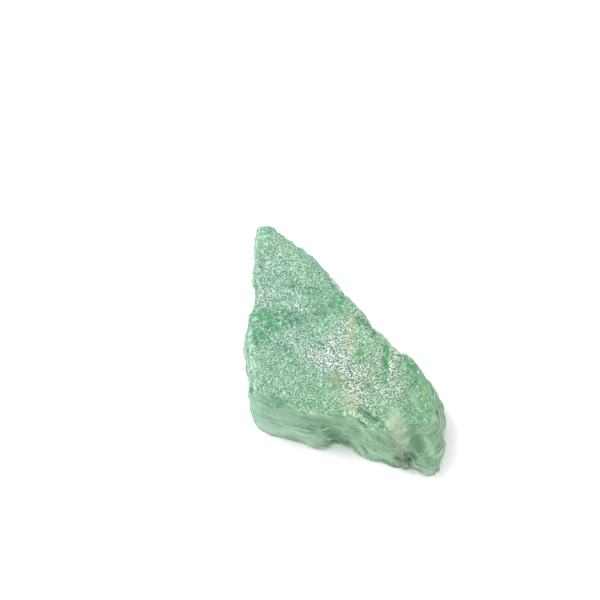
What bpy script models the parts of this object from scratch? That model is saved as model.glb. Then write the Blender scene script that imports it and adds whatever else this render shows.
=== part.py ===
# Raw green aventurine: one broken slab of quartz full of fine green mica.
# It rests on its cleaved underside. +Y runs along the slab to its narrow tip, +Z is up.
# Lengths are millimetres and angles degrees; the finished stone is scaled to metres.

import math

import bmesh
import bpy
from mathutils import Matrix, Vector, noise

MM = 0.001

# Driving dimensions
THICKNESS = 9.5
SHOULDER = 1.6  # the walls leave the rim and reach their upper offset this far below it
BURIED = 0.8  # stock below the resting plane, broken away at the end
GRID = 0.4  # spacing of the surface points that are sculpted
TRIANGLES = 9200

# The rim of the top face, clockwise from the tip: x, y, and how far the wall
# stands out from the rim at its shoulder, at mid height and at the foot.
RIM = [
    (3.0, 23.8, 0.0, 0.1, -0.6),
    (4.4, 25.1, 0.3, 0.4, -0.5),
    (6.0, 24.2, 0.3, 0.4, 0.1),
    (6.6, 20.8, 0.5, 0.8, 0.9),
    (7.3, 16.7, 0.4, 0.9, 1.4),
    (8.4, 13.3, 0.4, 0.8, 1.5),
    (8.1, 10.1, 0.7, 1.3, 1.8),
    (8.1, 8.5, 0.6, 1.4, 1.8),
    (8.8, 5.9, 0.7, 1.5, 1.6),
    (9.3, 3.1, 0.7, 1.5, 1.7),
    (9.4, 0.6, 0.5, 1.2, 1.9),
    (9.0, -1.3, 0.9, 1.6, 1.9),
    (9.4, -4.5, 0.9, 1.6, 1.4),
    (10.1, -6.0, 0.7, 1.3, 1.0),
    (11.2, -7.8, 0.6, 1.0, 0.7),
    (12.0, -10.8, 0.5, 0.7, 0.2),
    (12.3, -13.4, 0.4, 0.5, 0.0),
    (12.0, -16.1, 0.4, 0.5, 0.1),
    (10.5, -18.9, 0.4, 0.4, 0.1),
    (9.0, -21.2, 0.2, 0.3, 0.1),
    (7.3, -22.9, 0.0, 0.1, 0.0),
    (5.6, -23.2, 0.0, 0.0, 0.0),
    (4.7, -21.4, 0.0, 0.0, 0.0),
    (3.5, -19.7, 0.0, 0.4, 1.1),
    (2.4, -18.8, 0.2, 0.4, 0.7),
    (0.9, -16.9, 0.2, 0.4, 0.4),
    (-0.4, -15.3, 0.3, 0.5, 0.5),
    (-1.1, -13.6, 0.3, 0.6, 0.6),
    (-1.5, -12.2, 0.4, 0.7, 0.8),
    (-2.9, -11.0, 0.2, 0.4, 0.5),
    (-5.3, -9.3, 0.0, -0.1, 0.4),
    (-8.4, -6.9, 0.1, -0.1, 0.4),
    (-9.1, -5.4, 0.7, 0.9, 0.7),
    (-10.6, -3.5, 0.9, 1.2, 0.8),
    (-11.9, -2.0, 0.8, 1.4, 0.8),
    (-12.6, -0.7, 0.3, 0.9, 0.6),
    (-11.7, 1.8, 0.2, 0.3, -0.2),
    (-10.9, 3.3, 0.1, 0.1, -0.4),
    (-9.8, 6.0, 0.1, 0.0, -0.5),
    (-8.6, 8.3, 0.1, 0.0, -0.4),
    (-6.8, 10.3, 0.2, 0.1, -0.1),
    (-3.5, 13.6, 0.2, 0.2, 0.0),
    (-1.6, 17.0, 0.2, 0.2, 0.0),
    (0.4, 20.2, 0.1, 0.1, -0.2),
]

# Levels of the loft: height, and the share of each of the three offsets there
LEVELS = [
    (-BURIED, (0.0, 0.0, 1.0)),
    (0.4, (0.0, 0.0, 1.0)),
    (2.6, (0.0, 0.6, 0.4)),
    (5.0, (0.0, 1.0, 0.0)),
    (THICKNESS - SHOULDER, (1.0, 0.0, 0.0)),
    (THICKNESS, (0.0, 0.0, 0.0)),
]

# Cleavage planes: a point on the plane, the heading it falls towards and its slope
CLEAVES = [
    ((7.6, -11.2, 9.5), -38, 25),  # broad shoulder of the blunt end
    ((9.5, -17.3, 7.1), -33, 60),  # steep end below the shoulder
    ((5.2, -19.6, 6.4), -78, 50),  # front of the blunt end
    ((3.6, 21.0, 9.4), 92, 13),  # fall of the tip
]

# The low ledge that grows out of the front wall: middle, size, turn about Z,
# and how far the outer edge of its top is worn back and down
LEDGE = ((-7.4, -5.6, 2.4), (9.2, 4.3, 6.4), -47.5, (0.4, 0.3))

# Bites out of the walls: middle, radii, turn about Z and lean about the long side
SCOOPS = {
    "recess": ((-4.7, -11.3, 3.6), (1.2, 1.5, 2.5), -34, 10),
    "end_scoop": ((5.2, -21.2, 8.1), (2.3, 3.3, 3.2), 8, 42),
    "notch": ((3.8, -20.9, 2.2), (0.75, 1.6, 4.2), 15, -22),
    "back_bite": ((12.4, 1.6, 2.2), (2.0, 5.0, 3.2), 4, 0),
    "left_bite": ((-11.2, 9.0, 1.2), (5.0, 2.6, 3.0), 52, 0),
}

# Relief of the top face: the height and the size of each kind of unevenness
SWELL = (0.55, 12.0)
SWELL_STEP = 0.3  # where leaves have lifted off, the swell falls in low steps
FACET = (0.26, 4.6)
LUMP = (0.15, 2.2)
FLUTE = ((9.7, -3.4), (5.9, -10.0))  # smooth groove running in from the back edge
FLUTE_DEPTH, FLUTE_HALF = 0.6, 0.9
CRACK = ((-0.6, -10.3), (2.1, -15.8))  # sharp towards the back, easing out to the front
CRACK_DEPTH, CRACK_LIP, CRACK_EASE = 0.5, 0.5, 2.2
HOLLOW = (-2.9, 10.2)
HOLLOW_DEPTH, HOLLOW_FLOOR, HOLLOW_RADIUS = 0.45, 0.4, 2.8

# Relief of the walls: reach and size, and for the leaves their length and thickness
LEAF = (0.62, 7.0, 1.9)
LEAF_STEP = 0.35
FINE_LEAF = (0.22, 2.6, 0.8)
BULGE = (0.40, 5.5)
CHIP = (0.34, 4.2)
WORN = (-9.0, -5.5)  # middle of the smooth stretch at the front corner
WORN_CORE, WORN_RADIUS, WORN_SHARE = 4.5, 8.0, 0.3  # and the share of the relief left there

# Relief of the underside: hollows between flats that reach below the resting plane
UNDER_LIFT = 0.65
UNDER_HOLLOW = (0.6, 8.0)
UNDER_FACET = (0.4, 6.0)
UNDER_LUMP = (0.10, 2.0)


def smoothstep(low, high, value):
    share = min(max((value - low) / (high - low), 0.0), 1.0)
    return share * share * (3.0 - 2.0 * share)


def band(value, centre, half):
    """1 at the centre of a band, falling smoothly to 0 at its edges."""
    return 1.0 - smoothstep(0.0, half, abs(value - centre))


def terrace(value, rise):
    """A slope turned into low steps, each with a soft riser."""
    share = value / rise
    step = math.floor(share)
    return rise * (step + smoothstep(0.35, 0.65, share - step))


def fractal(point, size, seed, octaves=3):
    """Smooth noise in -1..1 whose largest lumps are about size across."""
    shifted = Vector((point.x + 37.0 * seed, point.y - 19.0 * seed, point.z + 53.0 * seed))
    return noise.fractal(shifted / size, 1.0, 2.0, octaves)


def facets(point, size, seed):
    """-0.5 on the borders of irregular cells, up to 0.5 at their middles."""
    shifted = Vector((point.x - 23.0 * seed, point.y + 41.0 * seed, point.z + 11.0 * seed))
    near = noise.voronoi(shifted / size)[0]
    return min((near[1] - near[0]) * 1.6, 1.0) - 0.5


def leaves(point, length, thickness, seed):
    """Noise drawn out along the slab's bedding, in lenses longer than they are thick."""
    warp = 0.5 * fractal(Vector((point.x, point.y, 0.0)), 9.0, seed, 2)
    bed = point.z + 0.10 * point.x - 0.06 * point.y + warp
    return fractal(Vector((point.x / length, point.y / length, bed / thickness)), 1.0, seed)


def along(point, line):
    """Share of the way along a line in plan, and the distance to the left of it."""
    start, end = map(Vector, line)
    run = end - start
    offset = point.xy - start
    return offset.dot(run) / run.length_squared, run.cross(offset) / run.length


def heading(degrees):
    angle = math.radians(degrees)
    return Vector((math.cos(angle), math.sin(angle), 0.0))


def object_from(bm, name, collection):
    mesh = bpy.data.meshes.new(name)
    bmesh.ops.recalc_face_normals(bm, faces=bm.faces)
    bm.to_mesh(mesh)
    bm.free()
    obj = bpy.data.objects.new(name, mesh)
    collection.objects.link(obj)
    return obj


def bake(obj):
    """Makes what the modifiers show the object's own mesh."""
    shown = obj.evaluated_get(bpy.context.evaluated_depsgraph_get())
    mesh = bpy.data.meshes.new_from_object(shown)
    old = obj.data
    obj.modifiers.clear()
    obj.data = mesh
    bpy.data.meshes.remove(old)


def combine(stone, helper, operation):
    boolean = stone.modifiers.new(helper.name, "BOOLEAN")
    boolean.operation = operation
    boolean.object = helper
    boolean.solver = "EXACT"
    bake(stone)


def regrid(stone, spacing):
    """Makes the surface anew from points about a spacing apart, closed and without folds."""
    grid = stone.modifiers.new("grid", "REMESH")
    grid.mode = "VOXEL"
    grid.voxel_size = spacing
    bake(stone)


# The slab and its cleavage

def wall_normals():
    """Outward direction in plan at each rim point."""
    normals = []
    for i in range(len(RIM)):
        before = Vector(RIM[i - 1][:2])
        after = Vector(RIM[(i + 1) % len(RIM)][:2])
        run = (after - before).normalized()
        normals.append(Vector((-run.y, run.x)))
    return normals


def cleave(bm, point, fall, slope):
    """Breaks away everything beyond a plane and closes the cut."""
    tilt = math.radians(slope)
    normal = heading(fall) * math.sin(tilt) + Vector((0.0, 0.0, math.cos(tilt)))
    parts = bm.verts[:] + bm.edges[:] + bm.faces[:]
    cut = bmesh.ops.bisect_plane(
        bm, geom=parts, plane_co=point, plane_no=normal, clear_outer=True
    )["geom_cut"]
    edges = [part for part in cut if isinstance(part, bmesh.types.BMEdge)]
    bmesh.ops.edgeloop_fill(bm, edges=edges)


def make_slab(collection):
    """A loft through the levels, then the cleavage planes broken from it."""
    bm = bmesh.new()
    normals = wall_normals()
    rings = []
    for height, shares in LEVELS:
        ring = []
        for (x, y, *offsets), out in zip(RIM, normals):
            stand = sum(share * offset for share, offset in zip(shares, offsets))
            ring.append(bm.verts.new((x + out.x * stand, y + out.y * stand, height)))
        rings.append(ring)
    for lower, upper in zip(rings, rings[1:]):
        for i in range(len(RIM)):
            j = (i + 1) % len(RIM)
            bm.faces.new((lower[i], lower[j], upper[j], upper[i]))
    bm.faces.new(rings[0])
    bm.faces.new(rings[-1])
    for point, fall, slope in CLEAVES:
        cleave(bm, Vector(point), fall, slope)
    return object_from(bm, "raw_aventurine", collection)


# Blocks that the break left standing or took away

def make_block(name, collection, middle, size, turn=0.0, wear=(0.0, 0.0)):
    """A box turned about Z, the outer edge of its top moved back and down by wear."""
    place = (
        Matrix.Translation(middle)
        @ Matrix.Rotation(math.radians(turn), 4, "Z")
        @ Matrix.Diagonal((*size, 1.0))
    )
    bm = bmesh.new()
    bmesh.ops.create_cube(bm, size=1.0)
    outer = [vert for vert in bm.verts if vert.co.z > 0.0 and vert.co.y < 0.0]
    bmesh.ops.translate(bm, verts=outer, vec=(0.0, wear[0] / size[1], -wear[1] / size[2]))
    bmesh.ops.transform(bm, matrix=place, verts=bm.verts)
    return object_from(bm, name, collection)


def make_scoop(name, collection, middle, radii, turn, lean):
    """An egg-shaped bite, turned about Z and leaning about its own long side."""
    place = (
        Matrix.Translation(middle)
        @ Matrix.Rotation(math.radians(turn), 4, "Z")
        @ Matrix.Rotation(math.radians(lean), 4, "X")
        @ Matrix.Diagonal((*radii, 1.0))
    )
    bm = bmesh.new()
    bmesh.ops.create_uvsphere(bm, u_segments=24, v_segments=14, radius=1.0, matrix=place)
    return object_from(bm, name, collection)


def break_walls(stone, helpers):
    combine(stone, make_block("ledge", helpers, *LEDGE), "UNION")
    for name, scoop in SCOOPS.items():
        combine(stone, make_scoop(name, helpers, *scoop), "DIFFERENCE")


# The broken surface, moved point by point

def top_relief(p):
    """Height added to the top face at a point."""
    swell = SWELL[0] * fractal(p, SWELL[1], 1, 2)
    height = 0.5 * swell + 0.5 * terrace(swell + 0.12 * fractal(p, 3.0, 2), SWELL_STEP)
    drift = Vector((fractal(p, 3.0, 3), fractal(p, 3.0, 4), 0.0))
    height += FACET[0] * facets(p + 0.8 * drift, FACET[1], 5)
    height += LUMP[0] * fractal(p, LUMP[1], 6)

    share, left = along(p, FLUTE)
    height -= FLUTE_DEPTH * band(left, 0.0, FLUTE_HALF) * band(share, 0.5, 0.62)
    share, left = along(p, CRACK)
    profile = smoothstep(-CRACK_EASE, -0.1, left) * smoothstep(CRACK_LIP, 0.0, left)
    height -= CRACK_DEPTH * profile * band(share, 0.5, 0.62)
    away = (p.xy - Vector(HOLLOW)).length
    height -= HOLLOW_DEPTH * (1.0 - smoothstep(HOLLOW_FLOOR, HOLLOW_RADIUS, away))
    return height


def wall_relief(p):
    """Distance that the walls stand out."""
    out = LEAF[0] * terrace(leaves(p, LEAF[1], LEAF[2], 7), LEAF_STEP)
    out += FINE_LEAF[0] * leaves(p, FINE_LEAF[1], FINE_LEAF[2], 8)
    out += BULGE[0] * fractal(p, BULGE[1], 9, 2)
    out += CHIP[0] * facets(p, CHIP[1], 10)
    away = (p.xy - Vector(WORN)).length
    return out * (WORN_SHARE + (1.0 - WORN_SHARE) * smoothstep(WORN_CORE, WORN_RADIUS, away))


def under_relief(p):
    """Height added to the underside at a point."""
    height = UNDER_LIFT + UNDER_HOLLOW[0] * fractal(p, UNDER_HOLLOW[1], 11, 2)
    height -= UNDER_FACET[0] * facets(p, UNDER_FACET[1], 12)
    return height + UNDER_LUMP[0] * fractal(p, UNDER_LUMP[1], 13)


def sculpt(stone):
    """Eases the cut edges, then moves each point by the relief of the side it is on."""
    bm = bmesh.new()
    bm.from_mesh(stone.data)
    bmesh.ops.smooth_vert(
        bm, verts=bm.verts, factor=0.5, use_axis_x=True, use_axis_y=True, use_axis_z=True
    )
    bm.normal_update()
    places = []
    for vert in bm.verts:
        p = vert.co
        level = smoothstep(0.45, 0.9, abs(vert.normal.z))
        side = Vector((vert.normal.x, vert.normal.y, 0.0))
        lift = top_relief(p) if vert.normal.z > 0.0 else under_relief(p)
        places.append(p + side * wall_relief(p) * (1.0 - level) + Vector((0.0, 0.0, level * lift)))
    for vert, place in zip(bm.verts, places):
        vert.co = place
    bm.to_mesh(stone.data)
    bm.free()


def thin_out(stone):
    """Drops the points that a flat stretch of surface can do without."""
    thin = stone.modifiers.new("thin", "DECIMATE")
    thin.ratio = TRIANGLES / sum(len(face.vertices) - 2 for face in stone.data.polygons)
    bake(stone)


def base_to_origin(stone):
    """Moves the middle of the stone's base to the origin and turns millimetres into metres."""
    xs, ys, zs = zip(*(vert.co for vert in stone.data.vertices))
    middle = Vector(((min(xs) + max(xs)) / 2, (min(ys) + max(ys)) / 2, min(zs)))
    return Matrix.Scale(MM, 4) @ Matrix.Translation(-middle)


def make_stone():
    stones = bpy.data.collections.new("raw green aventurine")
    helpers = bpy.data.collections.new("cutters")
    for collection in (stones, helpers):
        bpy.context.scene.collection.children.link(collection)
    stone = make_slab(stones)
    break_walls(stone, helpers)
    regrid(stone, GRID)
    sculpt(stone)
    regrid(stone, 0.8 * GRID)
    thin_out(stone)
    ground = make_block("ground", helpers, (0.0, 0.0, -5.0), (60.0, 80.0, 10.0))
    combine(stone, ground, "DIFFERENCE")

    place = base_to_origin(stone)
    stone.data.transform(place)
    for helper in helpers.objects:
        helper.data.transform(place)
        helper.hide_render = True
        helper.display_type = "WIRE"
    return stone


def green_aventurine():
    material = bpy.data.materials.new("green_aventurine")
    material.use_nodes = True
    shader = material.node_tree.nodes["Principled BSDF"]
    shader.inputs["Base Color"].default_value = (0.32, 0.55, 0.40, 1.0)
    shader.inputs["Roughness"].default_value = 0.45
    shader.inputs["Metallic"].default_value = 0.0
    return material


for old in list(bpy.data.objects):
    bpy.data.objects.remove(old, do_unlink=True)
aventurine = make_stone()
aventurine.data.materials.clear()
aventurine.data.materials.append(green_aventurine())
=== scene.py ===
import math

import bmesh
import bpy
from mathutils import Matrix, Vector, noise


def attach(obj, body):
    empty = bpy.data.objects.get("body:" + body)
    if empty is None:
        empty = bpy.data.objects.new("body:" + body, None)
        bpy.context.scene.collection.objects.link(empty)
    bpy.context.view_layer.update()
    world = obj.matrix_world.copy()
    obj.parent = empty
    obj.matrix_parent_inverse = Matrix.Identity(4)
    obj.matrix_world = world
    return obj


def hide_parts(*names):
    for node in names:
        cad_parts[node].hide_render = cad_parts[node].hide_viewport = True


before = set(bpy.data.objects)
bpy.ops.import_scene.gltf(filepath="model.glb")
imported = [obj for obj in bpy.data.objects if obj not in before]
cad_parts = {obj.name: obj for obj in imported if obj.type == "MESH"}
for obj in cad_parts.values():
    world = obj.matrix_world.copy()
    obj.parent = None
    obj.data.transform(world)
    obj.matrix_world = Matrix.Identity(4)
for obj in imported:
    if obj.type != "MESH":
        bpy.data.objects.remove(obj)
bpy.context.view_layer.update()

mm = 0.001
noise.seed_set(5)  # the wobble of the patches is the same every time


# Shader maths

class Wire:
    # the output socket of a shader node; arithmetic on it adds Math nodes
    def __init__(self, shader, socket):
        self.shader = shader
        self.socket = socket

    def pick(self, output):  # another output of the same node
        return Wire(self.shader, self.socket.node.outputs[output])

    def __add__(self, other):
        return self.shader.math("ADD", self, other)

    def __sub__(self, other):
        return self.shader.math("SUBTRACT", self, other)

    def __rsub__(self, other):
        return self.shader.math("SUBTRACT", other, self)

    def __mul__(self, other):
        return self.shader.math("MULTIPLY", self, other)

    __radd__ = __add__
    __rmul__ = __mul__


class Shader:
    # builds the node tree of one material
    def __init__(self, name):
        self.material = bpy.data.materials.new(name)
        self.material.use_nodes = True
        self.tree = self.material.node_tree
        self.tree.nodes.clear()

    def node(self, kind, settings=None, values=None):
        made = self.tree.nodes.new("ShaderNode" + kind)
        for name, setting in (settings or {}).items():
            setattr(made, name, setting)
        for key, value in (values or {}).items():
            if isinstance(value, Wire):
                self.tree.links.new(value.socket, made.inputs[key])
            else:
                made.inputs[key].default_value = value
        return Wire(self, made.outputs[0]) if made.outputs else None

    def math(self, operation, *values):
        return self.node("Math", {"operation": operation}, dict(enumerate(values)))

    def vector(self, operation, *values):
        return self.node("VectorMath", {"operation": operation}, dict(enumerate(values)))

    def scaled(self, vector, factor):
        return self.node("VectorMath", {"operation": "SCALE"}, {0: vector, "Scale": factor})

    def parts(self, vector):  # its x; pick gives its y and z
        return self.node("SeparateXYZ", None, {0: vector})

    def mix(self, factor, first, second):  # of two colours
        return self.node("Mix", {"data_type": "RGBA"}, {0: factor, 6: first, 7: second}).pick(2)

    def blend(self, factor, first, second):  # of two vectors
        return self.node("Mix", {"data_type": "VECTOR"}, {0: factor, 4: first, 5: second}).pick(1)

    def rise(self, value, low, high):  # 0 at low and 1 at high, smooth between
        settings = {"interpolation_type": "SMOOTHSTEP"}
        return self.node("MapRange", settings, {0: value, 1: low, 2: high, 3: 0.0, 4: 1.0})

    def noise(self, place, size, detail, roughness, distortion):
        values = {"Vector": place, "Scale": 1 / size, "Detail": detail}
        values.update({"Roughness": roughness, "Distortion": distortion})
        return self.node("TexNoise", None, values)

    def cells(self, place, size):  # three chance values for each cell, as a colour
        return self.node("TexVoronoi", None, {"Vector": place, "Scale": 1 / size}).pick("Color")

    def attribute(self, name):
        return self.node("Attribute", {"attribute_name": name}).pick("Fac")


def screenColour(red, green, blue):  # a colour as it looks on screen, 0 to 255
    shares = [value / 255 for value in (red, green, blue)]
    return (*[s / 12.92 if s < 0.04 else ((s + 0.055) / 1.055) ** 2.4 for s in shares], 1.0)


# The fine broken surface, in millimetres

slabMiddle = Vector((0.12, -1.27, 0.0))  # all places below are measured from here
fine = {
    "grid": 0.19,  # spacing of its points
    "merge": 0.001,  # points of the solid that lie closer than this become one
    "ease": 4,  # passes of smoothing that soften the solid's facets
    "around": 10,  # passes that a point's slope and relief are measured against
    "blunt": 60,  # passes that wear the thin toes away
    "joint": (0.3, 0.3),  # where two chips meet: width, and the most it takes of their size
    "chip": (0.60, 0.42),  # the sugary chips of the top: size and tilt
    "smallChip": (0.6, 0.5),  # smaller ones among them, as shares of that size and tilt
    "lump": (1.3, 0.10, 0.25),  # size, height, and share of the height where no chips are
    "leaf": (0.62, 3.0, 0.14),  # leaves of the walls: thickness, length and reach
    "leafEdge": 0.82,  # share of its thickness where a leaf starts to run into the next
    "leafTurn": 0.8,  # how fast leaves change along y, against 1 along x
    "plate": (3.6, 2.4, 0.34),  # broken plates of the walls: length, flatness and tilt
    "splinter": (1.5, 2.2, 0.32),
    "pit": (0.8, 0.30),  # size and depth
    "pitEdge": (0.12, 0.5),  # from its floor to its rim, as shares of its size
}
patchFade = (0.1, 1.4)  # shares of its reach between which a patch fades
patchWobble = (2.2, 0.7)  # how a patch's edge wanders: size and reach

# Patches of the surface: two points, and how far the patch reaches from the line between them
patches = {
    "pale": [  # painted highlight: the whitest glitter, where the flakes catch the light
        ((5.3, 2.2, 9.4), (0.3, -1.8, 9.6), 1.9),
        ((-2.0, 0.6, 9.5), (0.3, -1.8, 9.6), 1.1),
        ((4.8, -0.2, 9.5), (3.6, -1.6, 9.5), 0.9),
        ((-9.3, -6.7, 5.0), (-6.2, -9.0, 5.0), 0.6),
        ((0.3, -1.8, 9.6), (2.8, -7.2, 9.7), 2.5),
        ((2.8, -7.2, 9.7), (4.6, -11.0, 9.5), 1.7),
        ((9.6, -5.6, 9.1), (6.2, -11.4, 9.3), 1.9),
        ((7.7, -4.1, 9.5), (6.6, -6.2, 9.5), 1.0),
        ((0.4, -6.9, 9.5), (-1.0, -11.2, 9.3), 2.0),
        ((-1.4, 13.4, 9.4), (-2.9, 12.4, 9.4), 0.6),
        ((0.9, 9.8, 9.5), (2.4, 8.4, 9.4), 0.9),
    ],
    "haze": [  # painted sheen: glitter that is a little whiter than elsewhere
        ((-3.2, 4.4, 9.5), (2.5, -3.5, 9.5), 4.6),
        ((-1.0, 14.6, 9.4), (-3.0, 12.4, 9.4), 2.4),
        ((1.0, 17.0, 9.4), (1.2, 12.6, 9.4), 3.0),
        ((0.6, -8.4, 9.5), (2.0, -11.6, 9.5), 2.2),
        ((8.6, 2.4, 9.4), (8.2, -1.8, 9.4), 2.0),
    ],
    "deep": [  # deeper green
        ((-4.6, 10.4, 9.4), (-3.6, 8.1, 9.4), 2.2),
        ((-6.6, 8.4, 9.4), (-7.0, 6.0, 9.5), 1.2),
        ((3.0, 12.6, 9.4), (4.2, 10.4, 9.4), 1.4),
        ((-3.4, 8.2, 9.4), (0.2, 6.6, 9.4), 1.5),
        ((-2.4, 10.6, 9.4), (-0.8, 8.4, 9.4), 1.1),
        ((-4.7, 4.2, 9.5), (-4.2, 2.4, 9.5), 0.9),
        ((7.9, 6.7, 9.1), (3.6, 6.5, 9.2), 1.4),
        ((4.8, -3.0, 9.6), (4.4, -4.8, 9.6), 0.9),
        ((9.2, -3.8, 9.0), (7.0, -7.8, 9.2), 0.6),
        ((7.0, -7.8, 9.2), (5.4, -9.2, 9.4), 0.4),
        ((2.8, -7.7, 9.7), (3.1, -10.1, 9.5), 0.8),
        ((-0.2, -11.6, 9.2), (1.3, -15.4, 9.5), 1.2),
        ((8.3, 1.6, 9.5), (8.5, -1.6, 9.4), 0.9),
        ((10.4, -8.6, 8.7), (9.2, -11.8, 8.5), 0.6),
    ],
    "clear": [  # smooth and glassy, with few flakes
        ((-4.4, 10.4, 9.4), (-3.6, 8.2, 9.4), 1.3),
        ((-6.4, 7.8, 9.5), (-6.6, 6.9, 9.5), 0.5),
        ((9.2, -3.8, 9.0), (7.0, -7.8, 9.2), 1.0),
        ((7.0, -7.8, 9.2), (5.4, -9.2, 9.4), 0.7),
        ((4.8, -3.4, 9.6), (4.5, -4.3, 9.6), 0.5),
        ((8.0, 6.7, 9.1), (6.0, 6.5, 9.2), 0.7),
        ((-2.2, -5.9, 9.5), (-4.0, -7.1, 9.4), 0.8),
        ((11.2, -8.4, 8.7), (10.4, -14.9, 7.2), 2.3),
        ((8.6, -13.4, 8.3), (7.5, -17.6, 7.9), 2.0),
        ((10.4, -14.9, 7.2), (8.8, -18.6, 6.4), 2.6),
        ((6.1, -14.3, 9.0), (6.0, -17.4, 8.4), 1.1),
        ((5.1, -18.6, 6.9), (5.6, -20.6, 5.0), 2.2),
        ((7.6, -19.0, 6.4), (7.6, -22.2, 2.6), 2.8),
        ((-12.9, -0.6, 9.2), (-8.0, -7.0, 9.3), 1.3),
    ],
    "glint": [  # glitter that runs over the rim on to the walls, and on the top of the ledge
        ((-12.6, 0.4, 8.8), (-9.2, 8.2, 8.8), 1.2),
        ((-9.2, 8.2, 8.8), (-3.4, 13.8, 8.9), 1.0),
        ((-3.4, 13.8, 8.9), (1.6, 22.0, 8.8), 1.0),
        ((-9.3, -6.7, 5.0), (-6.2, -9.0, 5.0), 0.5),
        ((-12.8, -1.0, 8.9), (-8.2, -7.2, 8.9), 0.6),
    ],
    # painted light on the well-lit ridge crest
    "cream": [
        ((3.6, -14.8, 9.5), (2.9, -16.6, 9.6), 1.5),
        ((2.7, -16.6, 9.6), (2.6, -18.3, 8.8), 1.6),
    ],
    "ochre": [
        ((7.3, 2.8, 9.5), (5.6, 0.2, 9.4), 0.8),
        ((-0.8, -8.6, 9.5), (-1.7, -11.4, 9.3), 1.3),
        ((4.7, -1.0, 9.5), (4.2, -2.4, 9.5), 0.9),
        ((4.8, 21.4, 9.2), (5.2, 19.9, 9.1), 0.9),
    ],
    "olive": [
        ((-0.1, -4.8, 9.6), (-2.0, -5.8, 9.5), 1.0),
    ],
    "grey": [  # pitted, at the foot of the blunt end
        ((1.3, -18.3, 7.6), (3.0, -19.3, 4.7), 1.1),
        ((3.0, -19.3, 4.7), (2.4, -20.0, 0.4), 1.7),
    ],
    "worn": [  # smooth stretches of the walls
        ((-13.0, -1.2, 6.6), (-7.6, -7.4, 7.2), 2.6),
        ((-7.4, -7.6, 7.6), (-2.6, -11.6, 7.6), 1.1),
        ((-12.8, -2.2, 3.0), (-9.6, -6.2, 2.2), 2.4),
        ((5.1, -18.6, 6.9), (5.4, -20.2, 5.4), 1.3),
        ((0.2, -16.4, 6.8), (1.1, -17.8, 6.4), 1.0),
    ],
    "shade": [  # painted shade on the walls: recesses, the crease over the ledge, the facet facing away from the light
        ((-4.9, -9.6, 3.6), (-3.2, -11.3, 1.0), 1.3),
        ((-8.0, -7.4, 7.6), (-5.2, -9.2, 6.6), 0.9),
        ((-7.8, -7.6, 5.6), (-5.6, -9.2, 5.4), 0.5),
        ((0.3, -16.3, 6.9), (1.2, -18.0, 6.4), 0.8),
        ((5.0, -18.3, 7.4), (5.2, -20.1, 5.5), 1.4),
    ],
    "bark": [  # where dark lines lie close together
        ((10.9, -16.8, 5.4), (10.0, -18.8, 4.8), 1.3),
        ((9.7, -18.0, 6.0), (8.3, -20.8, 4.4), 1.6),
    ],
    "calm": [  # little relief, but with lines of its own
        ((-3.4, -11.4, 5.0), (1.4, -17.8, 5.0), 3.2),
        ((12.4, -11.0, 5.0), (8.0, -21.8, 4.0), 3.0),
        ((10.0, -19.0, 4.0), (8.4, -22.6, 2.0), 2.8),
    ],
    "light": [  # painted light: low walls lit from the floor, and the ridge by the dark facet
        ((-12.9, -2.6, 1.6), (-10.4, -5.4, 1.6), 1.3),
        ((-10.4, -5.4, 2.4), (-6.0, -8.6, 2.8), 1.3),
        ((5.9, -18.3, 7.7), (6.6, -19.9, 5.8), 0.6),
        ((6.6, -19.9, 5.8), (6.9, -21.6, 3.4), 0.6),
        ((-1.9, -13.2, 1.6), (0.8, -17.4, 2.0), 1.5),
        ((3.8, -20.2, 0.8), (5.4, -23.0, 0.8), 0.7),
    ],
}
toes = (  # thin edges of the foot that are worn away, as patches
    ((10.8, 0.2, 0.1), (10.9, 1.7, 0.1), 1.0),
    ((10.6, -5.4, 0.1), (10.4, -4.4, 0.1), 0.7),
)
calming = {"clear": 0.9, "cream": 0.7, "worn": 0.85, "calm": 0.6}  # relief that patches take away

halfWay = (0.5, 0.5, 0.5)  # the middle of three chance values
apart = {  # steps in the noise that keep patterns from repeating each other
    "lump": (31.7, -17.3, 43.1),  # from seed to seed
    "chip": (7.1, 3.3, -5.9),
    "leaf": (13.7, 5.3, 2.9),  # from leaf to leaf
    "tilt": 91.0,  # from chip to chip, by its middle
}


def smoothStep(low, high, value):
    share = min(max((value - low) / (high - low), 0.0), 1.0)
    return share * share * (3.0 - 2.0 * share)


def shift(pattern, seed):
    return Vector([step * seed for step in apart[pattern]])


def lumps(p, size, seed, octaves):  # each octave is half as large and half as high
    return noise.fractal((p + shift("lump", seed)) / size, 1.0, 2.0, octaves)


def chipTilt(middle):  # a chance direction, the same from every point of a chip
    return noise.cell_vector(middle * apart["tilt"]) - Vector(halfWay)


def chips(p, size, seed):  # height of a patchwork of tilted chips
    place = p / size + shift("chip", seed)
    distances, middles = noise.voronoi(place)
    own, other = ((place - middle).dot(chipTilt(middle)) for middle in middles[:2])
    width, most = fine["joint"]
    inside = smoothStep(0.0, min(width / size, most), distances[1] - distances[0])
    return (0.5 * (own + other) + 0.5 * (own - other) * inside) * size


bedding = {  # how the stone's layers lie
    "slope": (0.10, -0.06),  # along x and y
    "dipFrom": -10.0,  # past this y they dip towards the blunt end
    "dip": 0.30,  # by this slope
    "fold": (7.0, 0.9),  # size and height
    "ripple": (1.6, 0.10),
}


def bedLevel(p):  # height along the slab's bedding, which is gently folded
    alongX, alongY = bedding["slope"]
    size, height = bedding["fold"]
    warp = height * lumps(Vector((p.x, p.y, 0.0)), size, seed=11, octaves=2)
    size, height = bedding["ripple"]
    warp += height * lumps(p, size, seed=12, octaves=2)
    dipped = bedding["dip"] * max(0.0, bedding["dipFrom"] - p.y)
    return p.z + alongX * p.x + alongY * p.y + dipped + warp


def steps(level, along, seed):  # layers that each stand out by their own amount
    index = math.floor(level)
    edge = smoothStep(fine["leafEdge"], 1.0, level - index)
    x, y, z = apart["leaf"]
    lower, upper = (
        noise.noise(Vector((along + x * k, y * k + seed, z * k))) for k in (index, index + 1)
    )
    return lower + (upper - lower) * edge


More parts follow.
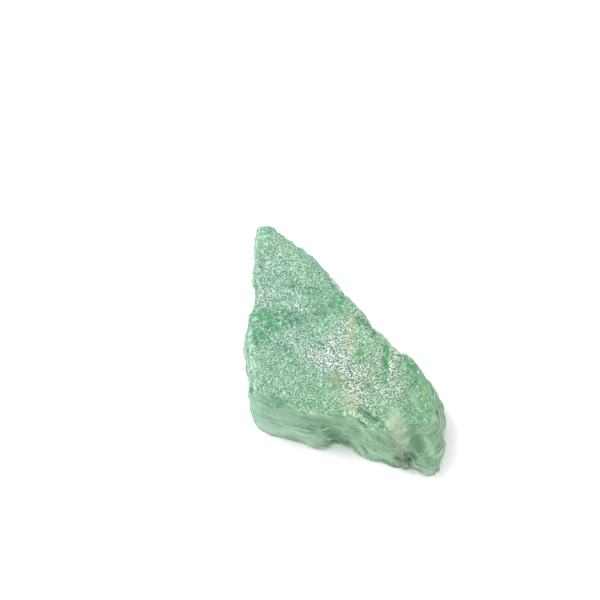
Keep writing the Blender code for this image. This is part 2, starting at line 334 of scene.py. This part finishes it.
def leaves(p, level, size, seed):
    thickness, length, reach = size
    return reach * steps(level / thickness, (p.x + fine["leafTurn"] * p.y) / length, seed)


def plates(p, level, size, seed):  # chips that are longer along the bedding than across it
    length, flatness, tilt = size
    return tilt * chips(Vector((p.x, p.y, flatness * level)), length, seed)


def closeness(p, patch):  # 1 in the middle of a patch, fading to 0 past its reach
    start, end, reach = Vector(patch[0]), Vector(patch[1]), patch[2]
    run = end - start
    share = min(max((p - start).dot(run) / run.length_squared, 0.0), 1.0)
    distance = (p - start - share * run).length
    return 1.0 - smoothStep(*patchFade, distance / reach)


def patchShares(p):
    size, reach = patchWobble
    wobbled = p + reach * noise.turbulence_vector(p / size, 2, False)
    return {name: max(closeness(wobbled, patch) for patch in patches[name]) for name in patches}


crack = {
    "start": Vector((-0.3, -10.6)),
    "end": Vector((1.9, -16.3)),
    "halfWidth": 0.17,
    "floor": 0.05,  # half width of its floor
    "depth": 0.34,
    "taper": 0.2,  # share of its length that each end takes to close
    "wander": (1.4, 0.25),  # size and reach
}


def crackShare(p):
    run = crack["end"] - crack["start"]
    rel = p.xy - crack["start"]
    share = rel.dot(run) / run.length_squared
    size, reach = crack["wander"]
    aside = run.cross(rel) / run.length + reach * lumps(p, size, seed=31, octaves=2)
    inside = smoothStep(0.0, crack["taper"], share) * smoothStep(1.0, 1.0 - crack["taper"], share)
    return inside * (1.0 - smoothStep(crack["floor"], crack["halfWidth"], abs(aside)))


rim = {  # where the top face gives way to the walls
    "facing": (0.62, 0.90),  # how far up a slope faces on the walls, and on the top
    "ragged": (2.0, 0.20),  # what makes the rim uneven: size and strength
    "glint": 0.6,  # how much farther up the patches of that name seem to face
    "steep": (0.95, 0.7),  # how far up a slope faces where leaves start, and where they are full
    "foot": (-0.3, 0.6),  # the same by height above the ground
}


def topShare(p, slope, glint):  # 1 on the top face and 0 on the walls
    size, reach = rim["ragged"]
    facing = slope.z + reach * lumps(p, size, seed=21, octaves=3) + rim["glint"] * glint
    return smoothStep(*rim["facing"], facing)


def roughen(p, normal, level, top, shares):
    # how far the fine relief moves a point out
    kept = {name: 1.0 - less * shares[name] for name, less in calming.items()}
    sugar = top * kept["clear"] * kept["cream"]
    size, tilt = fine["chip"]
    smaller, lower = fine["smallChip"]
    out = sugar * tilt * (chips(p, size, seed=3) + lower * chips(p, smaller * size, seed=4))
    size, height, least = fine["lump"]
    out += height * (least + (1.0 - least) * sugar) * lumps(p, size, seed=5, octaves=2)
    wall = (1.0 - top) * smoothStep(*rim["steep"], abs(normal.z)) * kept["worn"]
    wall *= smoothStep(*rim["foot"], p.z) * kept["calm"]
    broken = leaves(p, level, fine["leaf"], seed=11) + plates(p, level, fine["plate"], seed=6)
    out += wall * broken
    out += wall * plates(p, level, fine["splinter"], seed=7)
    size, depth = fine["pit"]
    hole = 1.0 - smoothStep(*fine["pitEdge"], noise.voronoi(p / size)[0][0])
    out -= depth * hole * shares["grey"]
    return out - crack["depth"] * shares["crack"]


def smoothed(obj, passes):  # the object's mesh as its modifiers make it, after passes of smoothing
    obj.modifiers.new("ease", "SMOOTH").iterations = passes
    shown = obj.evaluated_get(bpy.context.evaluated_depsgraph_get())
    mesh = bpy.data.meshes.new_from_object(shown)
    obj.modifiers.clear()
    return mesh


def fineCopy(node, name):
    # the solid's own shape on a close grid of points
    bm = bmesh.new()
    bm.from_mesh(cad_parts[node].data)
    bmesh.ops.remove_doubles(bm, verts=bm.verts, dist=fine["merge"] * mm)
    mesh = bpy.data.meshes.new(name)
    bm.to_mesh(mesh)
    bm.free()
    stone = bpy.data.objects.new(name, mesh)
    bpy.context.scene.collection.objects.link(stone)
    remesh = stone.modifiers.new("remesh", "REMESH")
    remesh.mode = "VOXEL"
    remesh.voxel_size = fine["grid"] * mm
    stone.data = smoothed(stone, fine["ease"])
    stone.data.name = name
    return stone


def breakSurface(stone):
    # moves each point by the fine relief and stores what the finish reads
    mesh = stone.data
    stored = {name: [] for name in ("top", "level", "crack", *patches)}
    normals = [Vector(corner.vector) for corner in mesh.vertex_normals]
    broad = smoothed(stone, fine["around"])
    worn = smoothed(stone, fine["blunt"])
    for vertex, normal, slope, eased in zip(
        mesh.vertices, normals, broad.vertex_normals, worn.vertices
    ):
        blunt = max(closeness(vertex.co / mm - slabMiddle, toe) for toe in toes)
        vertex.co = vertex.co.lerp(eased.co, blunt)
        p = vertex.co / mm - slabMiddle
        level, shares = bedLevel(p), patchShares(p)
        top = topShare(p, slope.vector, shares["glint"])
        shares["crack"] = top * crackShare(p)
        out = (1.0 - blunt) * roughen(p, normal, level, top, shares)
        vertex.co += slope.vector * out * mm
        vertex.co.z = max(vertex.co.z, 0.0)
        for name, value in {"top": top, "level": level, **shares}.items():
            stored[name].append(value)
    mesh.update()
    soft = smoothed(stone, fine["around"])
    stored["relief"] = [  # how far each point stands out of its surroundings
        (own.co - eased.co).dot(normal) / mm
        for own, eased, normal in zip(mesh.vertices, soft.vertices, normals)
    ]
    for name, values in stored.items():
        mesh.attributes.new(name, "FLOAT", "POINT").data.foreach_set("value", values)
    mesh.shade_smooth()


# The finish of the stone

tones = {
    "gap": screenColour(70, 116, 88),  # between the flakes: dark green, with painted shade
    "gapPale": screenColour(50, 82, 72),  # between the whiter flakes: darker green, with painted shade
    "gapDeep": screenColour(40, 104, 74),
    # pale mica flakes, and below them the paler tone of the painted highlight
    "flake": screenColour(162, 202, 178),
    "flakePale": screenColour(206, 219, 214),
    "clear": screenColour(102, 152, 116),  # glassy quartz
    "clearDeep": screenColour(58, 130, 88),
    "wall": screenColour(120, 157, 133),
    "wallPale": screenColour(170, 197, 177),
    "wallDark": screenColour(76, 114, 86),
    "shade": screenColour(78, 126, 88),
    "bark": screenColour(78, 96, 82),
    # painted light of the lit crest
    "cream": screenColour(156, 168, 146),
    "ochre": screenColour(182, 178, 124),
    "olive": screenColour(112, 134, 96),
    "grey": screenColour(112, 126, 104),
    "pit": screenColour(50, 62, 52),
    # painted shade in the crack
    "crack": screenColour(60, 92, 58),
}
strength = {  # how far a tone covers what lies under it, where its mask is full
    "gapDeep": 0.8,
    "flakeDeep": 0.4,
    "crack": 0.8,
    "light": 0.6,
    "bark": 0.9,
    "loneFlake": 0.35,  # painted glints of lone flakes, on the walls
    "shade": 0.7,
}
reliefTones = {  # relief where a tone sets in and where it is full, and its strength
    # painted shade in the hollows of the top
    "hollow": (0.0, -0.12, 0.3),
    # painted light on the raised points of the walls, and painted shade on the sunk ones
    "wallPale": (0.03, 0.12, 0.7),
    "wallDark": (-0.03, -0.12, 0.8),
    # painted shade in the pits
    "pit": (-0.05, -0.14, 0.7),
}
grains = {  # noises: size in millimetres, detail, roughness and distortion
    "cloud": (4.0, 3.0, 0.55, 0.6),
    "mottle": (1.0, 3.0, 0.6, 0.0),
    "speck": (0.34, 1.0, 0.5, 0.0),
    "wander": (0.6, 2.0, 0.5, 0.0),  # of the edges of the packets of flakes
    "lively": (2.6, 2.0, 0.5, 0.0),  # where the walls' streaks are strong
    "streak": (1.0, 4.0, 0.62, 0.4),
    "line": (0.25, 2.0, 0.6, 0.1),
    "bump": (0.35, 3.0, 0.6, 0.0),
}
flakes = {
    "packet": 0.46,  # size of a packet of flakes that lie one way, in millimetres
    "wander": 0.8,  # how far the edges of the packets wander
    "spacing": 0.37,  # from one flake to the next
    "edges": (1.0, 1.0, 0.4),  # shares of a packet's lean that turn its flakes' edges
    "spark": 0.24,  # size of a stretch of one brightness
    "lean": 0.55,  # how far their faces lean from the bedding
    "leanShare": (0.6, 0.7),  # how much that turns the surface, and how much less at a glint
    "cover": 1.15,  # how thick they lie on the top
    "fewer": {"clear": 0.8, "deep": 0.35, "cream": 0.9},  # what patches take off that
    "mottling": (0.3, 0.6),  # what mottling adds to it everywhere, and more in clear patches
    "clouding": 0.3,  # what clouds add to it
    # what makes flakes whiter: the painted highlight and painted sheen patches, and clouds and
    # mottling at random
    "whiter": {"pale": 0.7, "haze": 0.4, "cloudy": 0.9, "mottled": 0.4},
    "specks": 1.6,  # how uneven specks make a flake
    "sparkle": (0.55, 0.5),  # least shine, and what a spark adds
    "whiteShine": (0.80, 0.25),  # the same by how white they are
    "loneShine": (0.4, 0.4),  # the same for lone flakes, by how clear the stone is
    "loneMottle": 0.3,  # how much mottling gathers the lone flakes
    "glintDim": 0.4,  # how much less they shine over the rim
}
maskRanges = {  # what each mask is made from, where the mask is 0 and where it is 1
    "present": (-0.25, 0.25),  # cover less a packet's chance value
    "whiteness": (-0.2, 1.3),
    "bright": (0.10, 0.95),  # a flake's shape with its specks
    "lone": (0.86, 0.94),  # sparks
    "thick": (0.1, 0.8),  # cover
    "depth": (0.8, 1.7),
}
deepening = {"deep": 0.8, "cloud": 1.0, "speck": 0.8}  # what adds to the depth of clear stone
warmth = {  # what colours are multiplied by towards the blunt end
    "top": (1.03, 1.0, 0.90),
    "wall": (0.94, 0.97, 0.90),
    "turn": 0.7,  # how fast it grows along x, against 1 down y
    "cloudy": 6.0,  # how far clouds move it, in millimetres
    "range": (-8.0, 12.0),  # from none to all of it
}


def weighted(at, weights):
    return sum(weight * at[name] for name, weight in weights.items())


def raised(name, mask):  # a factor that a mask raises from its least value
    least, added = flakes[name]
    return least + added * mask


def readSurface(s):
    # what the finish reads at each point
    place = s.scaled(s.node("TexCoord").pick("Object"), 1 / mm)
    x = s.parts(place)
    at = {"place": place, "x": x, "y": x.pick("Y")}
    for name in ("top", "relief", "level", "crack", *patches):
        at[name] = s.attribute(name)
    for name, around in (("cloud", "cloudy"), ("mottle", "mottled"), ("speck", "specky")):
        at[name] = s.noise(place, *grains[name])
        at[around] = at[name] - 0.5
    onward = warmth["turn"] * at["x"] - at["y"] + warmth["cloudy"] * at["cloudy"]
    at["warmth"] = s.rise(onward, *warmth["range"])
    return at


def flakePackets(s, place):
    # a chance value and the lean of each packet, and 1 on its flakes falling to 0 between them
    wander = s.vector("SUBTRACT", s.noise(place, *grains["wander"]).pick("Color"), halfWay)
    warped = s.vector("ADD", place, s.scaled(wander, flakes["wander"]))
    chance = s.cells(warped, flakes["packet"])
    lean = s.vector("SUBTRACT", chance, halfWay)
    across = s.vector("NORMALIZE", s.vector("MULTIPLY", lean, flakes["edges"]))
    phase = s.vector("DOT_PRODUCT", warped, across).pick("Value") * (math.tau / flakes["spacing"])
    return s.parts(chance), lean, 0.5 + 0.5 * s.math("SINE", phase)


def flakeMasks(s, at):
    # flakes of mica, lying in the bedding and thick on the top
    chance, lean, edge = flakePackets(s, at["place"])
    spark = s.parts(s.cells(at["place"], flakes["spark"]))
    patchy = raised("mottling", at["clear"]) * at["mottled"] + flakes["clouding"] * at["cloudy"]
    cover = at["top"] * (flakes["cover"] - weighted(at, flakes["fewer"])) + patchy
    present = s.rise(cover - chance, *maskRanges["present"])
    # whiteness: painted highlight and sheen from their patches, with random clouds and mottling
    whiteness = s.rise(weighted(at, flakes["whiter"]), *maskRanges["whiteness"])
    bright = s.rise(edge + flakes["specks"] * at["specky"], *maskRanges["bright"])
    shine = present * bright * raised("sparkle", spark) * raised("whiteShine", whiteness)
    shine = shine * (1 - flakes["glintDim"] * at["glint"])
    # lone flakes that catch the light, painted as glints
    gathered = spark + flakes["loneMottle"] * at["mottled"]
    lone = s.rise(gathered, *maskRanges["lone"]) * (1 - at["cream"])
    shine = s.math("MAXIMUM", shine, lone * at["top"] * raised("loneShine", at["clear"]))
    thick = s.rise(cover, *maskRanges["thick"])
    return {"lean": lean, "whiteness": whiteness, "lone": lone, "shine": shine, "thick": thick}


def reliefMask(s, at, name):
    start, full, most = reliefTones[name]
    return s.rise(at["relief"], start, full) * most


def glitterColour(s, at):
    # flakes over darker gaps, or over glassy quartz where they are few
    gap = s.mix(at["whiteness"], tones["gap"], tones["gapPale"])
    gap = s.mix(at["deep"] * strength["gapDeep"], gap, tones["gapDeep"])
    depth = s.rise(weighted(at, deepening), *maskRanges["depth"])
    clear = s.mix(depth, tones["clear"], tones["clearDeep"])
    ground = s.mix(at["thick"], clear, gap)
    flake = s.mix(at["whiteness"], tones["flake"], tones["flakePale"])
    flake = s.mix(at["deep"] * strength["flakeDeep"], flake, tones["clear"])
    # painted glints: flakes that shine take the pale flake colour, which is also the mica's own
    # paler colour
    glitter = s.mix(at["shine"], ground, flake)
    # painted shade: the hollows of the top take the gap colour
    glitter = s.mix(reliefMask(s, at, "hollow"), glitter, gap)
    # painted shade in the crack
    return s.mix(at["crack"] * strength["crack"], glitter, tones["crack"])


walls = {
    "pace": {"streak": 0.16, "line": 0.10},  # how fast noises change along the bedding, 1 across
    "streaks": (  # noise, its value where a tone sets in and where it is full, strength and tone
        ("streak", 0.50, 0.72, 1.0, "wallPale"),
        ("streak", 0.48, 0.28, 1.0, "wallDark"),
        ("line", 0.54, 0.64, 0.8, "wallPale"),
        ("line", 0.46, 0.36, 0.6, "wallDark"),
    ),
    "bark": (0.52, 0.40),  # the line noise where bark sets in and where it is full
    "lively": (0.25, 0.6),  # the noise where streaks set in and where they are strong
    "worn": 0.75,  # what the worn patches take off the streaks
}


def wallColour(s, at):
    # pale and dark streaks along the bedding, with painted light and shade
    pattern = {}
    for name, pace in walls["pace"].items():
        run = {"X": pace * at["x"], "Y": pace * at["y"], "Z": at["level"]}
        pattern[name] = s.noise(s.node("CombineXYZ", None, run), *grains[name])
    lively = s.rise(s.noise(at["place"], *grains["lively"]), *walls["lively"])
    lively = (1 - walls["worn"] * at["worn"]) * lively
    wall = tones["wall"]
    for name, start, full, most, tone in walls["streaks"]:
        wall = s.mix(s.rise(pattern[name], start, full) * lively * most, wall, tones[tone])
    # painted light on the low walls and the ridge beside the facet
    wall = s.mix(at["light"] * strength["light"], wall, tones["wallPale"])
    barky = at["bark"] * s.rise(pattern["line"], *walls["bark"])
    wall = s.mix(barky * strength["bark"], wall, tones["bark"])
    # painted light on raised points and painted shade on sunk ones
    for tone in ("wallPale", "wallDark"):
        wall = s.mix(reliefMask(s, at, tone), wall, tones[tone])
    return s.mix(at["lone"] * strength["loneFlake"], wall, tones["flake"])


def warmed(s, at, colour, tint):
    return s.vector("MULTIPLY", colour, s.blend(at["warmth"], (1.0, 1.0, 1.0), tint))


stainsAndCrestLight = {  # least strength, what mottling adds to it, and the mottling from none to all of that
    # painted light on the lit crest first, then stains
    "cream": (0.3, 0.5, 0.3, 0.6),
    "olive": (0.4, 0.5, 0.3, 0.6),
    "ochre": (0.2, 0.6, 0.5, 0.8),
    "grey": (0.0, 0.8, 0.3, 0.55),
}


# stains of the stone, with painted light on the lit crest and painted shade in the pits
def addStainsAndPaintedLight(s, at, body):
    for name, (least, added, low, high) in stainsAndCrestLight.items():
        mottled = least + added * s.rise(at["mottle"], low, high)
        body = s.mix(at[name] * mottled, body, tones[name])
    # painted shade in the pits of the grey patch
    return s.mix(at["grey"] * reliefMask(s, at, "pit"), body, tones["pit"])


gloss = {
    "metallic": 0.12,  # of a flake that shines
    "roughness": 0.52,
    "flaky": 0.16,  # how much smoother the stone is where flakes lie thick
    "glassy": 0.12,  # and where it is clear
    "bump": (0.5, 0.05),  # strength, and height in millimetres
    "refraction": 1.54,
    "glow": 0.15,  # share of the light that enters the stone
    "glowColour": (0.6, 1.0, 0.7),
    "glowDepth": 0.8,  # in millimetres
}


def surfaceNormal(s, at):
    # a flake's face leans its own way
    face = s.vector("ADD", (0.0, 0.0, 1.0), s.scaled(at["lean"], flakes["lean"]))
    grain = s.noise(at["place"], *grains["bump"])
    bump, height = gloss["bump"]
    bumped = s.node("Bump", None, {"Strength": bump, "Distance": height * mm, "Height": grain})
    most, less = flakes["leanShare"]
    leaning = most * at["thick"] * (1 - less * at["glint"])
    return s.vector("NORMALIZE", s.blend(leaning, bumped, face))


def aventurineFinish():
    s = Shader("greenAventurine")
    at = readSurface(s)
    at.update(flakeMasks(s, at))
    glitter = warmed(s, at, glitterColour(s, at), warmth["top"])
    wall = warmed(s, at, wallColour(s, at), warmth["wall"])
    body = s.mix(at["top"], wall, glitter)
    # painted shade on the recesses, the crease and the facet
    body = s.mix(at["shade"] * strength["shade"], body, tones["shade"])
    smoother = gloss["roughness"] - gloss["flaky"] * at["thick"] - gloss["glassy"] * at["clear"]
    values = {
        "Base Color": addStainsAndPaintedLight(s, at, body),
        "Metallic": at["shine"] * gloss["metallic"],
        "Roughness": smoother,
        "Normal": surfaceNormal(s, at),
        "IOR": gloss["refraction"],
        "Subsurface Weight": gloss["glow"],
        "Subsurface Radius": gloss["glowColour"],
        "Subsurface Scale": gloss["glowDepth"] * mm,
    }
    s.node("OutputMaterial", None, {"Surface": s.node("BsdfPrincipled", None, values)})
    return s.material


def makeStone():
    stone = fineCopy("raw_aventurine", "brokenAventurine")
    print("fine copy,", len(stone.data.polygons), "faces")
    breakSurface(stone)
    print("fine break made")
    stone.data.materials.clear()
    stone.data.materials.append(aventurineFinish())
    print("finish made")
    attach(stone, "root")
    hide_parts("raw_aventurine")


# Studio: pale floor, soft light and the camera

studio = {  # in metres, watts and degrees
    "floorSize": 3.0,
    "floor": screenColour(250, 250, 250),
    "floorRoughness": 0.9,
    "sky": 1.10,
    "skyColour": (1.0, 1.0, 1.0, 1.0),
    "keyPower": 2.4,
    "keySize": 0.22,
    "keyHeading": 60.0,  # from the far side towards the left of the picture
    "keyHeight": 52.0,
    "keyDistance": 0.55,
}
view = {  # in millimetres and degrees
    "azimuth": -32.0,
    "elevation": 60.0,
    "lens": 165.0,
    "distance": 443.5,
    "aim": Vector((5.02, 14.52, 0.0)),
    "nearest": 10.0,  # the camera shows nothing closer
}


def fromCamera(turn, height):  # direction from the stone; turn 0 is towards the camera
    angle = math.radians(view["azimuth"] + turn)
    rise = math.radians(height)
    flat = Vector((math.sin(angle), -math.cos(angle), 0.0)) * math.cos(rise)
    return flat + Vector((0.0, 0.0, math.sin(rise)))


def makeFloor():
    bm = bmesh.new()
    bmesh.ops.create_grid(bm, x_segments=1, y_segments=1, size=studio["floorSize"] / 2)
    mesh = bpy.data.meshes.new("floor")
    bm.to_mesh(mesh)
    bm.free()
    floor = bpy.data.objects.new("floor", mesh)
    bpy.context.scene.collection.objects.link(floor)
    s = Shader("whiteFloor")
    values = {"Base Color": studio["floor"], "Roughness": studio["floorRoughness"]}
    s.node("OutputMaterial", None, {"Surface": s.node("BsdfPrincipled", None, values)})
    mesh.materials.append(s.material)


def makeLight():
    world = bpy.data.worlds.new("studio")
    world.use_nodes = True
    sky = world.node_tree.nodes["Background"].inputs
    sky["Color"].default_value = studio["skyColour"]
    sky["Strength"].default_value = studio["sky"]
    bpy.context.scene.world = world
    lamp = bpy.data.lights.new("key", "AREA")
    lamp.shape = "SQUARE"
    lamp.size = studio["keySize"]
    lamp.energy = studio["keyPower"]
    key = bpy.data.objects.new("key", lamp)
    bpy.context.scene.collection.objects.link(key)
    direction = fromCamera(180.0 + studio["keyHeading"], studio["keyHeight"])
    key.location = direction * studio["keyDistance"]
    key.rotation_mode = "QUATERNION"
    key.rotation_quaternion = direction.to_track_quat("Z", "Y")


def makeCamera():
    lens = bpy.data.cameras.new("camera")
    lens.lens = view["lens"]
    lens.clip_start = view["nearest"] * mm
    camera = bpy.data.objects.new("camera", lens)
    bpy.context.scene.collection.objects.link(camera)
    back = fromCamera(0.0, view["elevation"])
    camera.location = (slabMiddle + view["aim"] + back * view["distance"]) * mm
    camera.rotation_mode = "QUATERNION"
    camera.rotation_quaternion = back.to_track_quat("Z", "Y")
    bpy.context.scene.camera = camera
    bpy.context.scene.view_settings.view_transform = "Standard"


makeStone()
makeFloor()
makeLight()
makeCamera()
print("stone, floor, light and camera made")
